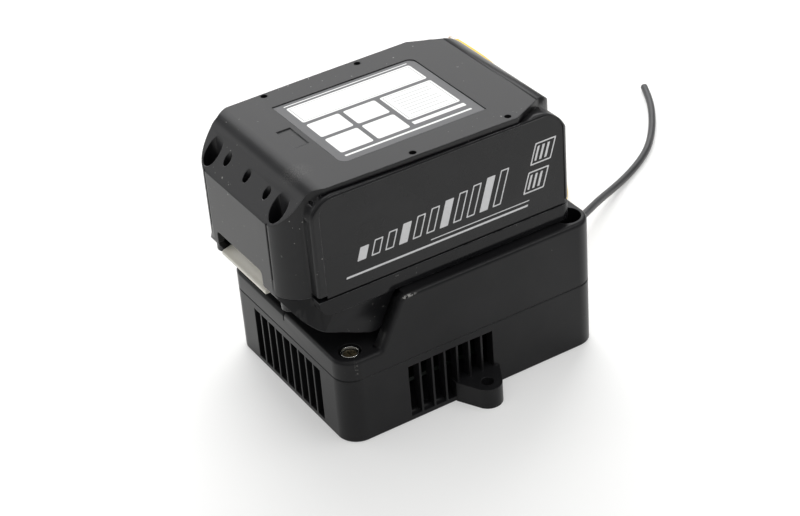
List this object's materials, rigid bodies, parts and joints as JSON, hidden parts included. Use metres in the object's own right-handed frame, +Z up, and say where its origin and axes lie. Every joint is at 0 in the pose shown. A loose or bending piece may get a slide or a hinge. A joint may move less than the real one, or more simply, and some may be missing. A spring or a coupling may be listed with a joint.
{
  "type": "tool battery adapter",
  "caption": "Box-shaped power adapter with a rail seat on its top, holding an upside-down slide-on tool battery pack; vent slots, mounting ears and bare output leads.",
  "frame": {"origin": "middle of the adapter's flat underside, where it rests on the table", "axes": "+X along the adapter towards the wall that the leads leave, -X towards the battery's release button, +Y across towards the side that the leads bend to, +Z up"},
  "size_m": [0.2578, 0.2526, 0.1043],
  "materials": {
    "adapter_housing": "fine spark-eroded texture",
    "screw_steel": "black oxide",
    "terminal_plastic": "satin",
    "contact_brass": "plain",
    "circuit_board": "solder mask",
    "ferrite": "matte",
    "copper_wire": "enamelled copper",
    "capacitor_can": "sleeved",
    "heat_sink_metal": "extruded",
    "chip_plastic": "moulded",
    "fuse_plastic": "translucent",
    "terminal_green": "satin",
    "red_insulation": "satin",
    "black_insulation": "satin",
    "yellow_insulation": "satin",
    "grommet_rubber": "matte",
    "tinned_copper": "tinned strands",
    "pack_housing": "fine texture",
    "side_film": "printed film",
    "label_sheet": "coated sticker",
    "holder_plastic": "moulded",
    "cell_can": "sleeved",
    "nickel": "nickel plate",
    "spring_steel": "drawn wire",
    "button_plastic": "satin"
  },
  "bodies": {
    "adapter": {"base_shell": "adapter_housing", "top_shell": "adapter_housing", "shell_screws": "screw_steel", "terminal_block": "terminal_plastic", "positive_blade": "contact_brass", "negative_blade": "contact_brass", "converter_board": "circuit_board", "board_screws": "screw_steel", "inductor_core": "ferrite", "inductor_winding": "copper_wire", "input_capacitor": "capacitor_can", "output_capacitor": "capacitor_can", "heat_sink": "heat_sink_metal", "power_transistors": "chip_plastic", "fuse_holder": "terminal_plastic", "fuse": "fuse_plastic", "output_terminals": "terminal_green", "positive_wire": "red_insulation", "negative_wire": "black_insulation", "black_inner_lead": "black_insulation", "yellow_inner_lead": "yellow_insulation", "black_lead_grommet": "grommet_rubber", "yellow_lead_grommet": "grommet_rubber", "black_lead": "black_insulation", "yellow_lead": "yellow_insulation", "yellow_lead_tip": "tinned_copper"},
    "battery": {"battery_case": "pack_housing", "rail_cover": "pack_housing", "side_film_near": "side_film", "side_film_far": "side_film", "label_plate": "label_sheet", "case_screws": "screw_steel", "cell_holder_near": "holder_plastic", "cell_holder_far": "holder_plastic", "cells_upper_row": "cell_can", "cells_lower_row": "cell_can", "nickel_strips": "nickel", "protection_board": "circuit_board", "positive_clip": "contact_brass", "negative_clip": "contact_brass", "latch_springs": "spring_steel"},
    "latch": {"release_button": "button_plastic"}
  },
  "joints": [
    {"name": "battery_slide", "type": "slide", "parent": "adapter", "child": "battery", "axis": [-1, 0, 0], "range_m": [0, 0.084]},
    {"name": "latch_press", "type": "slide", "parent": "battery", "child": "latch", "axis": [0, 0, 1], "range_m": [0, 0.004], "stiffness_N_per_m": 600, "springref_m": -0.004, "deforming": ["latch_springs"]}
  ]
}
